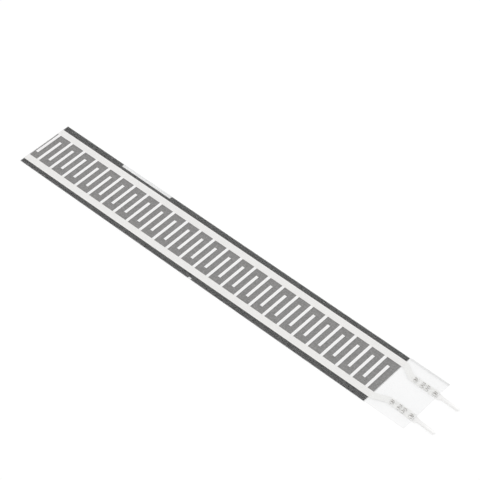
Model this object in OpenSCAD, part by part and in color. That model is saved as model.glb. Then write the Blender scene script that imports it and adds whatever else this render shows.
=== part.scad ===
// Thin-film force sensing resistor, strip type: two films joined by an adhesive spacer along both
// edges. The lower film carries a resistive carbon ink, the upper one two interleaved silver combs
// whose leads run out on a clear tail to two crimped, film-piercing terminals with square pins.

/* [Films] */
// Width of both films across the strip
strip_w = 15; // [13.6:0.1:20]
// Thickness of the lower, resistive film
base_t = 0.1; // [0.05:0.005:0.2]
// Thickness of the upper, electrode film
film_t = 0.1; // [0.05:0.005:0.2]
// Thickness of the carbon ink on the lower film
carbon_t = 0.015; // [0.005:0.001:0.03]
// Thickness of the adhesive spacer between the two films
spacer_t = 0.1; // [0.05:0.005:0.2]
// Clear film left outside the ink along each side
clear_edge = 0.05; // [0.05:0.05:0.5]
// Clear film left past the ink at the tail side of the lower film
clear_end = 0.16; // [0.05:0.01:1]
// Length of the clear tail past the lower film
tail_l = 10.2; // [9:0.1:16]

/* [Silver combs] */
// Finger pairs, one finger of each pair on either comb
pairs = 25; // [3:1:40]
// Distance from one finger to the next of the same comb
pitch = 4; // [2.4:0.1:6]
// Width of a finger
finger_w = 0.7; // [0.3:0.05:0.9]
// Distance between the inner edges of the two bus bars
bus_gap = 8.9; // [6:0.1:9.2]
// Width of a bus bar
bus_w = 1.7; // [0.8:0.1:1.7]
// Gap between a finger's tip and the opposite bus bar
tip_gap = 1.63; // [0.5:0.01:3]
// Thickness of the silver ink
silver_t = 0.015; // [0.005:0.001:0.03]
// First finger's centre from the cut end of the strip
first_finger = 0.72; // [0.5:0.01:3]
// Carbon ink past the last finger's centre
last_margin = 1.92; // [0.6:0.01:4]
// Tilt of the print on its film, in degrees
print_skew = 0.2; // [0:0.05:0.3]
// Point along the strip at which the tilted print is centred, from the cut end
skew_centre = 71.5; // [60:0.5:80]

/* [Leads on the tail] */
// Length of the bend from a bus bar to its contact pad
bend_l = 3.7; // [2:0.1:4.5]
// Width of a contact pad
pad_w = 1.8; // [1.5:0.05:2.5]
// Clear film left past the end of a pad
pad_end = 0.25; // [0.1:0.05:0.6]

/* [Flaws of the print] */
// Start of the long gap in the carbon ink's edge, from the cut end
gap_start = 18.1; // [10:0.1:30]
// Length of the long gap
gap_l = 14.9; // [5:0.1:20]
// Depth of the long gap
gap_depth = 0.7; // [0.2:0.05:0.9]
// Start of the small nick in the other edge, from the cut end
nick_start = 51.9; // [40:0.1:55]
// Length of the small nick
nick_l = 0.8; // [0.3:0.1:2]
// Depth of the small nick
nick_depth = 0.4; // [0.1:0.05:0.6]

/* [Terminals] */
// Distance between the two pins
pin_spacing = 7.62; // [6.5:0.01:8]
// Shift of both terminals off the film's centre line
terminal_shift = -0.2; // [-0.4:0.05:0.2]
// Turn of the upper terminal in the film's plane about its middle crimp, in degrees
tilt_upper = -0.8; // [-3:0.2:3]
// Turn of the lower terminal, likewise
tilt_lower = -2.2; // [-3:0.2:3]
// Thickness of the sheet that a terminal is stamped from
plate_t = 0.15; // [0.12:0.01:0.18]
// Width of a terminal's plate
plate_w = 1.6; // [1.5:0.05:2.2]
// Radius of the plate's front corners
plate_r = 0.45; // [0.1:0.05:0.8]
// Plate ahead of the first crimp's centre
plate_lead = 1; // [0.8:0.05:1.5]
// Plate behind the last crimp's centre
plate_trail = 1.2; // [0.8:0.05:2]
// Distance between the three crimps
crimp_pitch = 2.54; // [2.2:0.01:2.6]
// Last crimp's centre from the end of the film
crimp_inset = 0.75; // [0.65:0.01:1.2]
// Length of the shoulder between plate and pin
shoulder_l = 0.7; // [0.4:0.05:1.5]
// Side of the square pin
pin_w = 0.64; // [0.4:0.01:0.7]
// Length of the pin behind its shoulder
pin_l = 4.25; // [3:0.05:12]
// Length of the bevel on the pin's tip
tip_l = 0.35; // [0.1:0.05:0.6]
// Side of the square face left on the pin's tip
tip_w = 0.36; // [0.2:0.02:0.38]

/* [Crimp lances] */
// Inner radius of a lance's curl
curl_r = 0.06; // [0.03:0.01:0.08]
// Width of a lance in the single pairs at either end
end_lance_w = 0.65; // [0.4:0.05:0.9]
// Width of a lance in the double pair in the middle
mid_lance_w = 0.6; // [0.3:0.05:0.6]
// Distance between the two lances on one side of the double pair
mid_lance_pitch = 1.2; // [0.9:0.05:1.3]
// Gap between the tips of two lances that curl towards each other
tip_space = 0.06; // [0.04:0.02:0.12]
// Half width of the window between two lances that curl apart
mid_window = 0.2; // [0.1:0.02:0.2]
// Straight height of a lance above the film, up to its curl
lance_rise = 0.15; // [0.05:0.05:0.6]
// Clearance of a lance in the film's slit and over the film's face
slit_clear = 0.02; // [0.01:0.005:0.04]

/* [Hidden] */
$fn = 48;
// Overshoot of a cut past the face that it breaks through
cut = 0.05;
// Print drawn past the cut end, where it is trimmed flush
run_out = 1;
// Straight pieces that make up the bend of a lead
bend_steps = 14;

// Heights of the layers, from the face that the strip lies on
carbon_z = base_t;
spacer_z = carbon_z + carbon_t;
film_z = spacer_z + spacer_t;
film_top = film_z + film_t;
silver_z = film_z - silver_t;
plate_z = silver_z - plate_t;

// Lengths along the strip, from its cut end
last_finger = first_finger + (pairs - 0.5) * pitch;
carbon_l = last_finger + last_margin;
base_l = carbon_l + clear_end;
film_l = base_l + tail_l;
bus_l = base_l;
pad_l = film_l - pad_end;
last_crimp = film_l - crimp_inset;
plate_start = last_crimp - 2 * crimp_pitch - plate_lead;
plate_l = plate_lead + 2 * crimp_pitch + plate_trail;
total_l = plate_start + plate_l + shoulder_l + pin_l;

// Reach of a finger from its own bus bar, and the bus bars' outer edge
finger_l = bus_gap - tip_gap;
bus_edge = bus_gap / 2 + bus_w;
carbon_w = strip_w - 2 * clear_edge;
// Adhesive margin, from the film's edge to just under the bus bar
spacer_lap = 0.3;
spacer_w = strip_w / 2 - bus_edge + spacer_lap;

// Curl of a lance: sheet thickness round the inner radius
curl_out = curl_r + plate_t;
end_leg = tip_space / 2 + plate_t + 2 * curl_r;
mid_leg = mid_window;
tip_z = film_top + slit_clear;
curl_z = tip_z + lance_rise;

// Y of a terminal or pad: side is 1 for the upper comb and -1 for the lower one
function terminal_y(side) = side * pin_spacing / 2 + terminal_shift;
function crimp_x(i) = last_crimp - (2 - i) * crimp_pitch;
// Smooth step from 0 to 1 with level ends
function ease(s) = s * s * (3 - 2 * s);

// Moves what is drawn from the cut end so that the whole part is centred
module centred() {
    translate([-total_l / 2, 0, 0]) children();
}

// A flat layer of film or ink, from x0 to x1, centred across the strip
module layer(x0, x1, w, z, t) {
    translate([x0, -w / 2, z]) cube([x1 - x0, w, t]);
}

// Turns the print by its small tilt about the point where it is centred
module tilted_print() {
    translate([skew_centre, 0]) rotate(print_skew) translate([-skew_centre, 0]) children();
}

// Puts a terminal, drawn on the X axis, on its pad with the small turn it was pressed in at
module on_pad(side) {
    translate([crimp_x(1), terminal_y(side), 0]) rotate(side > 0 ? tilt_upper : tilt_lower)
        translate([-crimp_x(1), 0, 0]) children();
}

// Track of the upper comb: bus bar, then a lead that swings smoothly to the contact pad's line
module track_outline(pad_y) {
    bus_y = bus_gap / 2 + bus_w / 2;
    bend = [for (i = [0:bend_steps]) let (s = i / bend_steps)
            [bus_l + s * bend_l, bus_y + (pad_y - bus_y) * ease(s), (bus_w + (pad_w - bus_w) * s) / 2]];
    line = concat([[-run_out, bus_y, bus_w / 2]], bend, [[pad_l, pad_y, pad_w / 2]]);
    last = len(line) - 1;
    polygon(concat([for (p = line) [p[0], p[1] - p[2]]],
                   [for (i = [last:-1:0]) [line[i][0], line[i][1] + line[i][2]]]));
}

// Fingers reaching down from the upper bus bar; shift is half a pitch on the other comb
module finger_outline(shift) {
    for (i = [0:pairs - 1])
        translate([first_finger + shift + i * pitch - finger_w / 2, bus_gap / 2 - finger_l])
            square([finger_w, finger_l + bus_w / 2]);
}

// One comb's whole print, turned over for the lower side
module comb_outline(side) {
    shift = side > 0 ? 0 : pitch / 2;
    tilted_print() mirror([0, side > 0 ? 0 : 1]) {
        track_outline(side * terminal_y(side));
        finger_outline(shift);
    }
}

// Slits that one terminal's lances make in the film and in the pad
module slits(side, z0, z1) {
    on_pad(side) translate([0, 0, z0]) linear_extrude(z1 - z0) {
        for (i = [0, 2], m = [0, 1]) mirror([0, m])
            slit(crimp_x(i), end_leg, end_lance_w);
        for (k = [-1, 1], m = [0, 1]) mirror([0, m])
            slit(crimp_x(1) + k * mid_lance_pitch / 2, mid_leg, mid_lance_w);
    }
}

module slit(x, y, w) {
    translate([x - w / 2 - slit_clear, y - slit_clear])
        square([w + 2 * slit_clear, plate_t + 2 * slit_clear]);
}

module base_film() {
    color([0.90, 0.92, 0.93, 0.35]) centred() layer(0, base_l, strip_w, 0, base_t);
}

// Carbon ink, with the long gap and the small nick that its two edges show
module carbon_layer() {
    color([0.30, 0.30, 0.30]) centred() difference() {
        layer(0, carbon_l, carbon_w, carbon_z, carbon_t);
        translate([gap_start, carbon_w / 2 - gap_depth, carbon_z - cut])
            cube([gap_l, gap_depth + cut, carbon_t + 2 * cut]);
        translate([nick_start, -carbon_w / 2 - cut, carbon_z - cut])
            cube([nick_l, nick_depth + cut, carbon_t + 2 * cut]);
    }
}

// Adhesive margin, relieved where the bus bar's ink sinks into it
module spacer(side) {
    color([0.75, 0.76, 0.76, 0.4]) centred() difference() {
        translate([0, side > 0 ? strip_w / 2 - spacer_w : -strip_w / 2, spacer_z])
            cube([base_l, spacer_w, spacer_t]);
        translate([0, 0, silver_z]) linear_extrude(silver_t + cut)
            tilted_print() mirror([0, side > 0 ? 0 : 1]) track_outline(side * terminal_y(side));
    }
}

module spacer_upper() {
    spacer(1);
}

module spacer_lower() {
    spacer(-1);
}

// Silver print under the electrode film, trimmed flush at the cut end and slit at the crimps
module silver_comb(side) {
    color([0.92, 0.91, 0.89]) centred() difference() {
        intersection() {
            translate([0, 0, silver_z]) linear_extrude(silver_t) comb_outline(side);
            layer(0, film_l, strip_w, silver_z - cut, silver_t + 2 * cut);
        }
        slits(side, silver_z - cut, film_z + cut);
    }
}

module silver_comb_upper() {
    silver_comb(1);
}

module silver_comb_lower() {
    silver_comb(-1);
}

module electrode_film() {
    color([0.93, 0.95, 0.96, 0.35]) centred() difference() {
        layer(0, film_l, strip_w, film_z, film_t);
        for (side = [-1, 1]) slits(side, film_z - cut, film_top + cut);
    }
}

// Section of one lance: a leg through the film, a half-round curl and a tip back down to its face.
// Drawn with the leg's inner face on the Y axis; the curl goes over to +X.
module lance_section() {
    translate([0, plate_z]) square([plate_t, curl_z - plate_z]);
    translate([curl_out + curl_r, tip_z]) square([plate_t, curl_z - tip_z]);
    translate([curl_out, curl_z]) intersection() {
        difference() {
            circle(curl_out);
            circle(curl_r);
        }
        translate([-curl_out, 0]) square([2 * curl_out, curl_out]);
    }
}

// A lance of width w, its leg's inner face at y, curling away from the centre or towards it
module lance(x, y, w, outward) {
    translate([x + w / 2, y + (outward ? 0 : plate_t), 0]) rotate([90, 0, -90])
        linear_extrude(w) mirror([outward ? 1 : 0, 0]) lance_section();
}

// All lances of one terminal: single pairs at either end, the double pair in the middle
module lances() {
    for (m = [0, 1]) mirror([0, m]) {
        for (i = [0, 2]) lance(crimp_x(i), end_leg, end_lance_w, false);
        for (k = [-1, 1]) lance(crimp_x(1) + k * mid_lance_pitch / 2, mid_leg, mid_lance_w, true);
    }
}

// Windows left in the plate between the lances that were lifted out of it
module windows() {
    for (i = [0, 2]) window(crimp_x(i), end_leg, end_lance_w);
    window(crimp_x(1), mid_leg, mid_lance_pitch + mid_lance_w);
}

// One window of width w along the strip, reaching y to either side
module window(x, y, w) {
    translate([x - w / 2, -y, plate_z - cut]) cube([w, 2 * y, plate_t + 2 * cut]);
}

// Plate with round front corners, from its front end to the shoulder
module plate() {
    translate([plate_start, 0, plate_z]) linear_extrude(plate_t) {
        translate([plate_r, -plate_w / 2]) square([plate_l - plate_r, plate_w]);
        translate([0, plate_r - plate_w / 2]) square([plate_r + cut, plate_w - 2 * plate_r]);
        for (s = [-1, 1]) translate([plate_r, s * (plate_w / 2 - plate_r)]) circle(plate_r);
    }
}

// Shoulder: narrows from the plate's width and rises to the pin's height
module shoulder() {
    translate([plate_start + plate_l, 0, plate_z]) intersection() {
        linear_extrude(pin_w)
            polygon([[0, -plate_w / 2], [shoulder_l, -pin_w / 2], [shoulder_l, pin_w / 2], [0, plate_w / 2]]);
        translate([0, plate_w / 2, 0]) rotate([90, 0, 0]) linear_extrude(plate_w)
            polygon([[0, 0], [shoulder_l, 0], [shoulder_l, pin_w], [0, plate_t]]);
    }
}

// Square pin, its tip bevelled on all four sides
module pin() {
    side = [[0, -pin_w / 2], [pin_l - tip_l, -pin_w / 2], [pin_l, -tip_w / 2],
            [pin_l, tip_w / 2], [pin_l - tip_l, pin_w / 2], [0, pin_w / 2]];
    translate([plate_start + plate_l + shoulder_l, 0, plate_z + pin_w / 2]) intersection() {
        translate([0, 0, -pin_w / 2]) linear_extrude(pin_w) polygon(side);
        translate([0, pin_w / 2, 0]) rotate([90, 0, 0]) linear_extrude(pin_w) polygon(side);
    }
}

// Stamped terminal: two single pairs of lances that curl together, and a double pair between
// them that curls apart
module terminal(side) {
    color([0.80, 0.79, 0.76]) centred() on_pad(side) {
        difference() {
            plate();
            windows();
        }
        lances();
        shoulder();
        pin();
    }
}

module terminal_upper() {
    terminal(1);
}

module terminal_lower() {
    terminal(-1);
}

base_film();
carbon_layer();
spacer_upper();
spacer_lower();
silver_comb_upper();
silver_comb_lower();
electrode_film();
terminal_upper();
terminal_lower();
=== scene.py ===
"""Dresses the thin-film force sensing strip: films, inks, adhesive, crimped terminals and its stage."""
import math

import bpy
from mathutils import Matrix, Vector


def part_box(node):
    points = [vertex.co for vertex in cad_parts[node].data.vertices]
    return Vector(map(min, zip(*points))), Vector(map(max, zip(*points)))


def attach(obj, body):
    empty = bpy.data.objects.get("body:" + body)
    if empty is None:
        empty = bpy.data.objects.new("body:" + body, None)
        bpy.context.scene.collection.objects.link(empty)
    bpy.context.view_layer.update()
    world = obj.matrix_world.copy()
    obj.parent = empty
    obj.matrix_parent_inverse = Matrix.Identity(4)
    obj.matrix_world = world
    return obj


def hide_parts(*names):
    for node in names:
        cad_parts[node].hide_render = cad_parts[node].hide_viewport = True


bl_info = {
    "name": "Force sensing strip",
    "version": (1, 0, 0),
    "blender": (4, 5, 0),
    "location": "View3D > Sidebar > Strip",
    "description": "Films, printed inks and crimped terminals of a thin-film force sensing strip",
    "category": "Object",
}

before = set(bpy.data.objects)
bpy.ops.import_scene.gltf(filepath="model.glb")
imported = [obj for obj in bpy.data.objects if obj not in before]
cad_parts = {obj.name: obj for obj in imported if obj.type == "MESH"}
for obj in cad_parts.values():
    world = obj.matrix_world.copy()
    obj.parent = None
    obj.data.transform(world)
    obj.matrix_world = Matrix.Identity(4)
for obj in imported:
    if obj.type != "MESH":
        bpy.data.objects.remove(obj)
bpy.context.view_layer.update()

MM = 0.001
SIDES = {"upper": 1, "lower": -1}

# Landmarks of the frame, in metres
FILM_LOW, FILM_HIGH = (Vector(corner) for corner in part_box("electrode_film"))
BASE_LOW, BASE_HIGH = (Vector(corner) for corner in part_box("base_film"))
HALF_WIDTH = FILM_HIGH.y
# Inner edge of the adhesive margins
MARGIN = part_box("spacer_upper")[0][1]
SILVER_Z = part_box("silver_comb_upper")[0][2]
# Clearance of a lance in its slit, and the overshoot of a cut past the face that it breaks through
SLIT_CLEAR = 0.02 * MM
CUT = 0.1 * MM
# Hairline kept between a clear sheet and what it touches, so that both faces show
HAIR = 0.002 * MM
# Stretch at the start of the tail over which a finish changes
TAIL_BLEND = 0.3 * MM
# Painted shade along the tail's upper edge: where it sets in and is full, from that edge
RIM_START, RIM_FULL = 0.75 * MM, 0.25 * MM
# Bus bar across the strip, with the room that the print's tilt takes
BAR_SPAN = 1.9 * MM
# Painted dark reflection on the lances' crowns: where it sets in and is full, above the film
CROWN_START, CROWN_FULL = 0.31 * MM, 0.37 * MM
# Haze of each face of the two films
UPPER_HAZE, BASE_HAZE = 0.03, 0.135


def colour(name, words, value):
    """A colour that a user may change, in scene-linear values."""
    return bpy.props.FloatVectorProperty(
        name=name, description=words, default=value, size=3, subtype="COLOR", min=0, max=1)


def length(name, words, millimetres):
    """A length that a user may change, stored in metres."""
    return bpy.props.FloatProperty(
        name=name, description=words, default=millimetres * MM, unit="LENGTH", min=0, precision=5)


def angle(name, words, degrees):
    """An angle that a user may change, stored in radians."""
    return bpy.props.FloatProperty(
        name=name, description=words, default=math.radians(degrees), subtype="ANGLE", unit="ROTATION")


class StripSizes(bpy.types.PropertyGroup):
    """Sizes of the terminals' fine form; everything else comes from the frame."""
    sheet: length("Sheet", "Thickness of the terminals' stamped sheet", 0.15)
    corner: length("Corner", "Radius of the plate's front corners", 0.45)
    edge: length("Edge", "Rounding of the stamped edges", 0.025)
    spacing: length("Spacing", "Distance between the two pins", 7.62)
    offset: length("Offset", "Distance of both terminals from the film's middle, to the lower side", 0.2)
    tilt_upper: angle("Upper tilt", "Turn of the upper terminal about its middle crimp", -0.8)
    tilt_lower: angle("Lower tilt", "Turn of the lower terminal about its middle crimp", -2.2)
    inset: length("Inset", "Last crimp's centre from the end of the film", 0.75)
    crimp_pitch: length("Crimp pitch", "Distance between the crimps", 2.54)
    plate_lead: length("Plate lead", "Plate ahead of the first crimp", 1.0)
    plate_length: length("Plate length", "Length of the flat plate", 7.28)
    plate_width: length("Plate width", "Width of the flat plate", 1.6)
    shoulder: length("Shoulder", "Length of the shoulder between plate and pin", 0.7)
    pin: length("Pin", "Side of the square pin", 0.64)
    pin_length: length("Pin length", "Length of the pin behind its shoulder", 4.25)
    tip: length("Tip", "Length of the pin's bevelled tip", 0.35)
    tip_face: length("Tip face", "Side of the square face left on the tip", 0.36)
    curl: length("Curl", "Inner radius of a lance's curl", 0.06)
    rise: length("Rise", "Straight height of a lance above the film", 0.15)
    end_lance: length("End lance", "Width of a lance in the single pairs", 0.65)
    end_leg: length("End leg", "A single pair's legs, from the centre line", 0.30)
    mid_lance: length("Middle lance", "Width of a lance in the double pair", 0.6)
    mid_leg: length("Middle leg", "The double pair's legs, from the centre line", 0.2)
    mid_pitch: length("Middle pitch", "Distance between the double pair's lances", 1.2)


class StripColours(bpy.types.PropertyGroup):
    """Colours of the inks, the films and the metal."""
    silver: colour("Silver ink", "Bus bars and leads", (0.920, 0.908, 0.892))
    finger: colour("Fingers", "Fingers of the combs", (0.995, 0.985, 0.985))
    carbon: colour("Carbon ink", "Carbon ink under the air gap", (0.235, 0.230, 0.226))
    wetted: colour("Wetted ink", "Carbon ink under the adhesive", (0.036, 0.0355, 0.035))
    film: colour("Film", "Haze of the clear film", (0.55, 0.56, 0.57))
    adhesive: colour("Adhesive", "Haze of the clear adhesive", (0.86, 0.86, 0.84))
    tin: colour("Tin", "Tin plating of the terminals", (0.95, 0.945, 0.938))
    # Painted dark reflection on the lances' crowns, mixed into the tin's colour
    crown_reflection: colour("Crown reflection", "Painted dark reflection on the lances' crowns", (0.42, 0.41, 0.39))
    floor: colour("Floor", "Pale floor", (0.30, 0.30, 0.30))


class Wire:
    """One socket of a finish. Arithmetic on it adds Math nodes."""

    def __init__(self, finish, socket):
        self.finish = finish
        self.socket = socket

    def _math(self, operation, *values):
        return self.finish.node("Math", {"operation": operation}, dict(enumerate(values)))

    def __add__(self, other):
        return self._math("ADD", self, other)

    def __sub__(self, other):
        return self._math("SUBTRACT", self, other)

    def __rsub__(self, other):
        return self._math("SUBTRACT", other, self)

    def __mul__(self, other):
        return self._math("MULTIPLY", self, other)

    def __abs__(self):
        return self._math("ABSOLUTE", self)

    __radd__ = __add__
    __rmul__ = __mul__

    def rise(self, low, high):
        """A smooth step from 0 at low to 1 at high."""
        return self.finish.node("MapRange", {"interpolation_type": "SMOOTHSTEP"},
                                {"Value": self, "From Min": low, "From Max": high})


class Graph:
    """A tree of nodes that values and wires are fed into."""

    def __init__(self, tree):
        self.tree = tree

    def node(self, kind, settings, sockets, out=0):
        """Adds one node: its settings first, then the values or links of its sockets."""
        made = self.tree.nodes.new("ShaderNode" + kind)
        for key, value in settings.items():
            setattr(made, key, value)
        for key, value in sockets.items():
            self.feed(made.inputs[key], value)
        return Wire(self, made.outputs[out])

    def feed(self, socket, value):
        if isinstance(value, Wire):
            self.tree.links.new(value.socket, socket)
        elif socket.type == "RGBA" and len(value) == 3:
            socket.default_value = (*value, 1)
        else:
            socket.default_value = value

    def seen(self):
        """1 on rays that show the background: straight, mirrored or through something clear."""
        total = self.node("LightPath", {}, {}, "Is Camera Ray")
        outputs = total.socket.node.outputs
        for kind in ("Is Glossy Ray", "Is Transmission Ray"):
            total = total + Wire(self, outputs[kind])
        return total


class Finish(Graph):
    """A procedural material with one Principled shader."""

    def __init__(self, name, **sockets):
        self.material = bpy.data.materials.new(name)
        self.material.use_nodes = True
        super().__init__(self.material.node_tree)
        self.tree.nodes.clear()
        self.shader = self.tree.nodes.new("ShaderNodeBsdfPrincipled")
        output = self.tree.nodes.new("ShaderNodeOutputMaterial")
        self.tree.links.new(self.shader.outputs["BSDF"], output.inputs["Surface"])
        self.place = self.node("TexCoord", {}, {}, "Object")
        split = self.node("SeparateXYZ", {}, {0: self.place})
        self.x, self.y, self.z = (Wire(self, out) for out in split.socket.node.outputs)
        self.set(**sockets)

    def set(self, **sockets):
        """Sets sockets of the shader; an underscore stands for a space."""
        for key, value in sockets.items():
            self.feed(self.shader.inputs[key.replace("_", " ")], value)

    def noise(self, size, detail=3.0, stretch=(1, 1, 1), seed=0.0):
        """Noise whose patches are about size metres across."""
        spot = self.node("Mapping", {}, {"Vector": self.place, "Location": (seed, seed, seed),
                                         "Scale": tuple(1 / (size * part) for part in stretch)})
        return self.node("TexNoise", {}, {"Vector": spot, "Scale": 1.0, "Detail": detail}, "Fac")

    def blend(self, factor, first, second):
        """Mixes two colours."""
        return self.node("Mix", {"data_type": "RGBA"}, {0: factor, 6: first, 7: second}, 2)

    def on_tail(self):
        """1 on the tail, 0 on the rest of the strip."""
        return self.x.rise(BASE_HIGH.x, BASE_HIGH.x + TAIL_BLEND)

    def bump(self, height, distance, strength=1.0):
        self.set(Normal=self.node("Bump", {}, {"Height": height, "Distance": distance, "Strength": strength}))


def dress(finish, *nodes):
    """Gives CAD nodes a finish, slot by slot."""
    for node in nodes:
        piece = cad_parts[node]
        if not piece.data.materials:
            piece.data.materials.append(finish.material)
        for index in range(len(piece.data.materials)):
            piece.data.materials[index] = finish.material


def shade(tint, share):
    """The same tint, lighter or darker by share."""
    return tuple(min(1, part * share) for part in tint)


def film_finish(name, tint, haze):
    """Clear polyester: faint haze and smudges, painted shade along the tail's upper edge, hazier on its cut
    sides.
    """
    finish = Finish(name, Base_Color=tint, Roughness=0.12, IOR=1.57)
    smudge = finish.noise(6 * MM, stretch=(2.5, 1, 1))
    scratch = finish.noise(0.25 * MM, 2.0, (30, 1, 1), 3.0)
    normal = finish.node("NewGeometry", {}, {}, "Normal")
    upright = finish.node("SeparateXYZ", {}, {0: normal}, 2)
    side = 1 - abs(upright).rise(0.3, 0.7)
    tail = finish.on_tail()
    # rim is painted shade: a darker, less clear band along the tail's upper edge
    rim = tail * finish.y.rise(HALF_WIDTH - RIM_START, HALF_WIDTH - RIM_FULL)
    cut = finish.noise(0.3 * MM, 2.0, (4, 1, 1))
    finish.set(
        Alpha=(haze + 0.032 * tail) * (0.7 + 0.6 * smudge) + 0.11 * rim * (0.6 + 0.8 * cut) + 0.15 * side,
        Base_Color=finish.blend(rim, tint, shade(tint, 0.62)),
        Roughness=0.08 + 0.16 * smudge + 0.3 * side)
    finish.bump(scratch + 0.5 * smudge, 0.004 * MM)
    return finish


def carbon_finish(tints):
    """Matt carbon ink: dark where the adhesive wets it, grey and grainy under the air gap."""
    finish = Finish("carbon ink", IOR=1.5)
    wet = abs(finish.y).rise(MARGIN - 0.05 * MM, MARGIN + 0.05 * MM)
    grain = finish.noise(0.45 * MM, 2.0)
    cloud = finish.noise(9 * MM, 3.0, (2, 1, 1), 5.0)
    shine = 0.88 + 0.18 * grain + 0.06 * cloud
    dry_ink = finish.blend(grain, shade(tints.carbon, 0.55), shade(tints.carbon, 1.45))
    wet_ink = finish.blend(grain, shade(tints.wetted, 0.75), shade(tints.wetted, 1.3))
    finish.set(Base_Color=finish.blend(wet, dry_ink, wet_ink), Roughness=0.75 * shine)
    finish.bump(grain, 0.006 * MM)
    return finish


def silver_finish(tints):
    """Screen-printed silver: warm white, paler on the tail, with the screen's weave and a cloudy lay-down."""
    finish = Finish("silver ink", IOR=1.5, Metallic=0.0)
    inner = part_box("silver_comb_upper")[1][1] - BAR_SPAN
    bar = abs(finish.y).rise(inner - 0.1 * MM, inner + 0.1 * MM)
    thread = 2 * math.pi / (0.16 * MM)
    weave = (finish.node("Math", {"operation": "SINE"}, {0: (finish.x + finish.y) * thread})
             * finish.node("Math", {"operation": "SINE"}, {0: (finish.x - finish.y) * thread}))
    cloud = finish.noise(1.6 * MM, 4.0)
    fleck = finish.noise(0.12 * MM, 1.0, seed=7.0)
    ink = finish.blend(bar, tints.finger, tints.silver)
    print_tint = finish.blend(finish.on_tail(), ink, shade(tints.silver, 1.10))
    finish.set(
        Base_Color=finish.blend(0.10 * cloud + 0.08 * fleck, print_tint, shade(tints.silver, 0.45)),
        Roughness=0.42 + 0.2 * cloud)
    finish.bump(0.5 * weave + fleck, 0.003 * MM)
    return finish


def adhesive_finish(tints):
    """Clear adhesive with tiny trapped bubbles."""
    finish = Finish("clear adhesive", Base_Color=tints.adhesive, Roughness=0.3, IOR=1.48)
    bubble = finish.node("TexVoronoi", {}, {"Vector": finish.place, "Scale": 1 / (1.3 * MM)}, "Distance")
    finish.set(Alpha=0.015 + 0.12 * (1 - bubble.rise(0.05, 0.12)))
    return finish


def tin_finish(tints):
    """Bright tin plating: drawn along the strip, slightly dull in patches, with a painted dark reflection on
    the lances' crowns.
    """
    finish = Finish("tin plating", Metallic=1.0)
    dull = finish.noise(0.7 * MM, 3.0)
    drawn = finish.noise(0.05 * MM, 2.0, (14, 1, 1), 2.0)
    # crown masks the lances' tops on the film, where a dark reflection is painted into the colour
    crown = finish.z.rise(FILM_HIGH.z + CROWN_START, FILM_HIGH.z + CROWN_FULL)
    on_film = 1 - finish.x.rise(FILM_HIGH.x - 0.3 * MM, FILM_HIGH.x - 0.1 * MM)
    plated = finish.blend(dull, tints.tin, shade(tints.tin, 0.88))
    finish.set(
        Base_Color=finish.blend(crown * on_film * (0.75 + 0.5 * dull), plated, tints.crown_reflection),
        Roughness=0.20 + 0.18 * dull + 0.08 * drawn)
    finish.bump(drawn + 0.6 * dull, 0.004 * MM)
    return finish


def deselect():
    bpy.ops.object.select_all(action="DESELECT")


def activate(piece):
    deselect()
    piece.select_set(True)
    bpy.context.view_layer.objects.active = piece


def edit(mode="FACE"):
    """Enters edit mode with nothing selected."""
    bpy.ops.object.mode_set(mode="EDIT")
    bpy.ops.mesh.select_mode(type=mode)
    bpy.ops.mesh.select_all(action="DESELECT")


def pick(piece, test, kind="polygons"):
    """Selects the faces or edges whose middle passes the test, from inside edit mode."""
    bpy.ops.mesh.select_all(action="DESELECT")
    bpy.ops.object.mode_set(mode="OBJECT")
    points = piece.data.vertices
    for item in getattr(piece.data, kind):
        corners = [piece.matrix_world @ points[i].co for i in item.vertices]
        item.select = test(sum(corners, Vector()) / len(corners), corners)
    bpy.ops.object.mode_set(mode="EDIT")


def block(low, high):
    """A block from its lowest to its highest corner, at true size and place."""
    deselect()
    low, high = Vector(low), Vector(high)
    bpy.ops.mesh.primitive_cube_add(size=1, location=(low + high) / 2, scale=high - low)
    piece = bpy.context.active_object
    bpy.ops.object.transform_apply(location=True, rotation=True, scale=True)
    return piece


def combine(piece, other, operation):
    """Applies a Boolean with another piece, which is used up."""
    activate(piece)
    modifier = piece.modifiers.new(operation.lower(), "BOOLEAN")
    modifier.operation = operation
    modifier.solver = "EXACT"
    modifier.object = other
    bpy.ops.object.modifier_apply(modifier=modifier.name)
    bpy.data.objects.remove(other)


def pad_place(sizes, side_name):
    """Middle crimp of a terminal, the point that it is turned about."""
    return Vector((FILM_HIGH.x - sizes.inset - sizes.crimp_pitch,
                   SIDES[side_name] * sizes.spacing / 2 - sizes.offset, 0))


def tilt_piece(piece, sizes, side_name):
    """Turns a piece, built straight, to the tilt that its terminal was pressed in at."""
    place = pad_place(sizes, side_name)
    tilt = getattr(sizes, "tilt_" + side_name)
    activate(piece)
    turn = Matrix.Rotation(tilt, 4, "Z")
    piece.matrix_world = Matrix.Translation(place) @ turn @ Matrix.Translation(-place)
    bpy.ops.object.transform_apply(location=True, rotation=True, scale=True)


def terminal_body(sizes, place, low_z):
    """Plate, shoulder and pin in one: a block whose end face is drawn out three times."""
    half = sizes.plate_width / 2
    start = place.x - sizes.crimp_pitch - sizes.plate_lead
    plate_end = start + sizes.plate_length
    piece = block((start, place.y - half, low_z), (plate_end, place.y + half, low_z + sizes.sheet))
    activate(piece)
    edit("EDGE")
    pick(piece, lambda middle, ends: middle.x < start + sizes.edge
         and abs(ends[0].z - ends[1].z) > sizes.edge, "edges")
    bpy.ops.mesh.bevel(offset=sizes.corner, segments=6, affect="EDGES")
    bpy.ops.mesh.select_mode(type="FACE")
    pick(piece, lambda middle, corners: middle.x > plate_end - sizes.edge)
    centre = Vector((plate_end, place.y, low_z))
    tip_share = sizes.tip_face / sizes.pin
    draw_out(sizes.shoulder, centre, (1, sizes.pin / sizes.plate_width, sizes.pin / sizes.sheet))
    draw_out(sizes.pin_length - sizes.tip, centre, (1, 1, 1))
    draw_out(sizes.tip, centre + Vector((0, 0, sizes.pin / 2)), (1, tip_share, tip_share))
    bpy.ops.object.mode_set(mode="OBJECT")
    return piece


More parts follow.
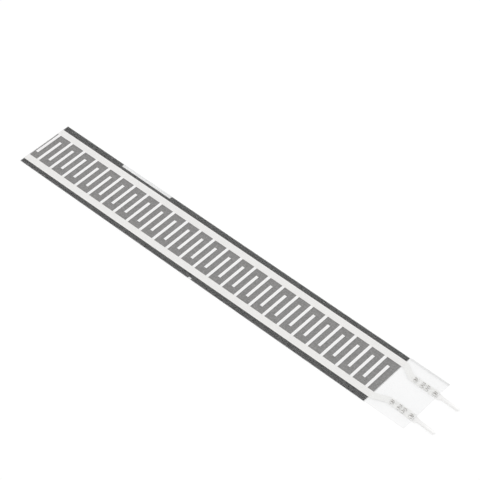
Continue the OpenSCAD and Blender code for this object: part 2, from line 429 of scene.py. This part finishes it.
def draw_out(reach, centre, scale):
    """Extrudes the selected end face along X and resizes it about the centre's line."""
    bpy.ops.mesh.extrude_region_move(TRANSFORM_OT_translate={"value": (reach, 0, 0)})
    bpy.ops.transform.resize(value=scale, center_override=centre)


def lance(sizes, x, y, width, side, turn, low_z, curl_z):
    """One lance: drawn up through the film, spun over in a half round, and its tip drawn back down.

    side is the side of the centre line that its leg stands on, turn the way its curl goes."""
    leg_low, leg_high = sorted((y, y + side * sizes.sheet))
    piece = block((x - width / 2, leg_low, low_z), (x + width / 2, leg_high, curl_z))
    activate(piece)
    edit()
    pick(piece, lambda middle, corners: middle.z > curl_z - sizes.edge / 2)
    face_y = leg_high if turn > 0 else leg_low
    centre = Vector((x, face_y + turn * sizes.curl, curl_z))
    bpy.ops.mesh.spin(steps=10, angle=math.pi, center=centre, axis=(turn, 0, 0))
    tip_y = face_y + turn * (2 * sizes.curl + sizes.sheet / 2)
    pick(piece, lambda middle, corners: abs(middle.y - tip_y) < sizes.edge
         and abs(middle.z - curl_z) < sizes.edge)
    bpy.ops.mesh.extrude_region_move(TRANSFORM_OT_translate={"value": (0, 0, -sizes.rise)})
    bpy.ops.transform.resize(value=(0.7, 1, 1), center_override=(x, tip_y, curl_z - sizes.rise))
    bpy.ops.mesh.select_all(action="SELECT")
    bpy.ops.mesh.remove_doubles(threshold=0.001 * MM)
    bpy.ops.mesh.normals_make_consistent(inside=False)
    bpy.ops.object.mode_set(mode="OBJECT")
    trim(piece, sizes.edge)
    return piece


def crimps(sizes, place):
    """The three crimps of a terminal: middle x, leg's distance from the centre line, lance width,
    the lances' places along the strip, and whether they curl apart."""
    half = sizes.mid_pitch / 2
    for i in (-1, 0, 1):
        x = place.x + i * sizes.crimp_pitch
        if i == 0:
            yield x, sizes.mid_leg, sizes.mid_lance, (-half, half), True
        else:
            yield x, sizes.end_leg, sizes.end_lance, (0,), False


def build_terminal(sizes, side_name):
    """One stamped terminal with its windows, three crimps and pin."""
    place = pad_place(sizes, side_name)
    low_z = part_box("terminal_" + side_name)[0][2]
    curl_z = FILM_HIGH.z + SLIT_CLEAR + sizes.rise
    piece = terminal_body(sizes, place, low_z)
    lances = []
    for x, leg, width, spots, apart in crimps(sizes, place):
        reach = width / 2 + max(spots)
        hole = leg - HAIR
        window = block((x - reach, place.y - hole, low_z - CUT),
                       (x + reach, place.y + hole, low_z + sizes.sheet + CUT))
        combine(piece, window, "DIFFERENCE")
        for spot in spots:
            for side in (-1, 1):
                turn = side if apart else -side
                lances.append(lance(sizes, x + spot, place.y + side * leg, width, side, turn,
                                    low_z + sizes.sheet / 3, curl_z))
    trim(piece, sizes.edge)
    for part in lances:
        combine(piece, part, "UNION")
    activate(piece)
    bpy.ops.object.shade_smooth_by_angle(angle=math.radians(35))
    tilt_piece(piece, sizes, side_name)
    return piece


def finish_piece(piece, name, finish, node):
    """Names a new piece, gives it its finish, hangs it on the root body and hides the CAD node that it
    replaces.
    """
    piece.name = name
    piece.data.name = name
    piece.data.materials.clear()
    piece.data.materials.append(finish.material)
    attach(piece, "root")
    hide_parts(node)


def trim(piece, width, segments=2):
    """Rounds every sharp edge of a piece a little."""
    activate(piece)
    bevel = piece.modifiers.new("trimmed edge", "BEVEL")
    bevel.width = width
    bevel.segments = segments
    bevel.limit_method = "ANGLE"
    bevel.angle_limit = math.radians(40)
    bpy.ops.object.modifier_apply(modifier=bevel.name)
    bpy.ops.object.shade_smooth_by_angle(angle=math.radians(35))


def build_electrode_sheet(sizes):
    """The upper film with its clear tail, slit where the lances pierce it."""
    piece = block(FILM_LOW + Vector((0, 0, HAIR)), FILM_HIGH)
    for side_name in SIDES:
        place = pad_place(sizes, side_name)
        for x, leg, width, spots, apart in crimps(sizes, place):
            for spot in spots:
                for side in (-1, 1):
                    near = place.y + side * (leg - SLIT_CLEAR)
                    far = place.y + side * (leg + sizes.sheet + SLIT_CLEAR)
                    half = width / 2 + SLIT_CLEAR
                    slit = block((x + spot - half, min(near, far), FILM_LOW.z - CUT),
                                 (x + spot + half, max(near, far), FILM_HIGH.z + CUT))
                    tilt_piece(slit, sizes, side_name)
                    combine(piece, slit, "DIFFERENCE")
    trim(piece, 0.012 * MM)
    return piece


def build_adhesive(side_name):
    """One adhesive margin: its inner part is pressed down under the bus bar."""
    side = SIDES[side_name]
    low, high = (Vector(corner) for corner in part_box("spacer_" + side_name))
    gap = Vector((0, 0, HAIR))
    piece = block(low + gap, Vector((high.x, high.y, SILVER_Z)) - gap)
    start, end = bar_edge(side_name)
    edge_y = (start + end) / 2
    slope = (end - start) / (high.x - low.x)
    activate(piece)
    edit()
    bpy.ops.mesh.select_all(action="SELECT")
    bpy.ops.mesh.bisect(plane_co=((low.x + high.x) / 2, edge_y, 0), plane_no=(-slope, 1, 0))
    pick(piece, lambda middle, corners: middle.z > SILVER_Z - 2 * HAIR and side * (middle.y - edge_y) > 0)
    bpy.ops.mesh.extrude_region_move(TRANSFORM_OT_translate={"value": (0, 0, high.z - SILVER_Z)})
    bpy.ops.object.mode_set(mode="OBJECT")
    return piece


def bar_edge(side_name):
    """Outer edge of a bus bar at the strip's cut end and at the tail, read off the comb's own points."""
    side = SIDES[side_name]
    points = [point.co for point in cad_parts["silver_comb_" + side_name].data.vertices]
    ends = []
    for x in (BASE_LOW.x, BASE_HIGH.x):
        near = [point.y * side for point in points if abs(point.x - x) < 1.5 * MM]
        ends.append(side * (max(near) + HAIR))
    return ends


class STRIP_OT_films(bpy.types.Operator):
    """Model the two clear films"""
    bl_idname = "strip.films"
    bl_label = "Clear films"

    def execute(self, context):
        tints = context.scene.strip_colours
        upper = build_electrode_sheet(context.scene.strip_sizes)
        finish_piece(upper, "electrode_sheet", film_finish("clear film", tints.film, UPPER_HAZE),
                     "electrode_film")
        lower = block(BASE_LOW, BASE_HIGH - Vector((0, 0, HAIR)))
        trim(lower, 0.012 * MM)
        finish_piece(lower, "base_sheet", film_finish("clear base film", tints.film, BASE_HAZE),
                     "base_film")
        return {"FINISHED"}


class STRIP_OT_carbon(bpy.types.Operator):
    """Finish the carbon ink"""
    bl_idname = "strip.carbon"
    bl_label = "Carbon ink"

    def execute(self, context):
        dress(carbon_finish(context.scene.strip_colours), "carbon_layer")
        return {"FINISHED"}


class STRIP_OT_spacers(bpy.types.Operator):
    """Model the adhesive margins"""
    bl_idname = "strip.spacers"
    bl_label = "Adhesive margins"

    def execute(self, context):
        finish = adhesive_finish(context.scene.strip_colours)
        for side_name in SIDES:
            finish_piece(build_adhesive(side_name), "adhesive_" + side_name, finish,
                         "spacer_" + side_name)
        return {"FINISHED"}


class STRIP_OT_combs(bpy.types.Operator):
    """Finish the two silver combs"""
    bl_idname = "strip.combs"
    bl_label = "Silver combs"

    def execute(self, context):
        dress(silver_finish(context.scene.strip_colours), "silver_comb_upper", "silver_comb_lower")
        return {"FINISHED"}


class STRIP_OT_terminals(bpy.types.Operator):
    """Model the two crimped terminals"""
    bl_idname = "strip.terminals"
    bl_label = "Crimped terminals"

    def execute(self, context):
        finish = tin_finish(context.scene.strip_colours)
        for side_name in SIDES:
            finish_piece(build_terminal(context.scene.strip_sizes, side_name), "crimp_" + side_name,
                         finish, "terminal_" + side_name)
        return {"FINISHED"}


# Camera of the photograph: place in metres, angles in degrees, lens on a 36 mm sensor
CAMERA_PLACE = (0.17621, -0.19535, 0.29913)
CAMERA_ELEVATION = 47.632
CAMERA_AZIMUTH = 41.748
CAMERA_ROLL = 0.684
CAMERA_LENS = 139.63
# Clear faces that one path of light may cross: six down to the floor, six back up, and a few to spare
CLEAR_FACES = 16
# Glow that brings the floor up to white; the rest of its light carries the shadow
FLOOR_GLOW = 0.71
# Lamps: name, place that they shine from, energy; and the angle that each spans, in degrees
LAMPS = (("key", (0.05, 0.5, 0.6), 0.1), ("fill", (0.5, -0.3, 0.6), 0.1))
LAMP_SPAN = 60
# Level of the sky's light on the object; the sky shows as white
SKY_LEVEL = 0.96


class STRIP_OT_stage(bpy.types.Operator):
    """Set the floor, the soft studio light and the camera"""
    bl_idname = "strip.stage"
    bl_label = "Stage"

    def execute(self, context):
        self.floor(context)
        self.light(context)
        self.camera(context)
        context.scene.view_settings.view_transform = "Standard"
        context.scene.cycles.transparent_max_bounces = CLEAR_FACES
        return {"FINISHED"}

    def floor(self, context):
        deselect()
        bpy.ops.mesh.primitive_plane_add(size=6, location=(0, 0, -0.02 * MM))
        floor = context.active_object
        floor.name = "studio_floor"
        finish = Finish("pale floor", Base_Color=context.scene.strip_colours.floor, Roughness=0.9)
        glow = finish.node("Emission", {}, {"Color": (1, 1, 1), "Strength": FLOOR_GLOW * finish.seen()})
        both = finish.node("AddShader", {}, {0: Wire(finish, finish.shader.outputs[0]), 1: glow})
        output = next(node for node in finish.tree.nodes if node.type == "OUTPUT_MATERIAL")
        finish.feed(output.inputs["Surface"], both)
        floor.data.materials.append(finish.material)

    def light(self, context):
        world = bpy.data.worlds.new("studio")
        world.use_nodes = True
        sky = Graph(world.node_tree)
        shader = sky.tree.nodes["Background"]
        sky.feed(shader.inputs["Color"], (1, 1, 1))
        sky.feed(shader.inputs["Strength"], SKY_LEVEL + (1 - SKY_LEVEL) * sky.seen())
        context.scene.world = world
        for name, place, power in LAMPS:
            deselect()
            bpy.ops.object.light_add(type="SUN", location=place)
            lamp = context.active_object
            lamp.name = name + "_light"
            lamp.data.angle = math.radians(LAMP_SPAN)
            lamp.data.energy = power
            lamp.rotation_euler = Vector(place).to_track_quat("Z", "Y").to_euler()

    def camera(self, context):
        deselect()
        bpy.ops.object.camera_add(location=CAMERA_PLACE)
        camera = context.active_object
        turn = (Matrix.Rotation(math.radians(CAMERA_AZIMUTH), 4, "Z")
                @ Matrix.Rotation(math.radians(90 - CAMERA_ELEVATION), 4, "X")
                @ Matrix.Rotation(math.radians(CAMERA_ROLL), 4, "Z"))
        camera.rotation_euler = turn.to_euler()
        camera.data.lens = CAMERA_LENS
        camera.data.sensor_width = 36
        camera.data.clip_start = 0.01
        context.scene.camera = camera


class STRIP_PT_panel(bpy.types.Panel):
    """Lists the strip's pieces, sizes and colours"""
    bl_label = "Force sensing strip"
    bl_idname = "STRIP_PT_panel"
    bl_space_type = "VIEW_3D"
    bl_region_type = "UI"
    bl_category = "Strip"

    def draw(self, context):
        for operator in OPERATORS:
            self.layout.operator(operator.bl_idname)
        for group in (context.scene.strip_sizes, context.scene.strip_colours):
            box = self.layout.box()
            for name in group.bl_rna.properties.keys():
                if name not in ("rna_type", "name"):
                    box.prop(group, name)


OPERATORS = (STRIP_OT_stage, STRIP_OT_films, STRIP_OT_carbon, STRIP_OT_spacers, STRIP_OT_combs,
             STRIP_OT_terminals)
CLASSES = (StripSizes, StripColours) + OPERATORS + (STRIP_PT_panel,)


def register():
    for cls in CLASSES:
        bpy.utils.register_class(cls)
    bpy.types.Scene.strip_sizes = bpy.props.PointerProperty(type=StripSizes)
    bpy.types.Scene.strip_colours = bpy.props.PointerProperty(type=StripColours)


def unregister():
    del bpy.types.Scene.strip_colours
    del bpy.types.Scene.strip_sizes
    for cls in reversed(CLASSES):
        bpy.utils.unregister_class(cls)


def main():
    register()
    for operator in ("stage", "films", "carbon", "spacers", "combs", "terminals"):
        getattr(bpy.ops.strip, operator)()


if __name__ == "__main__":
    main()
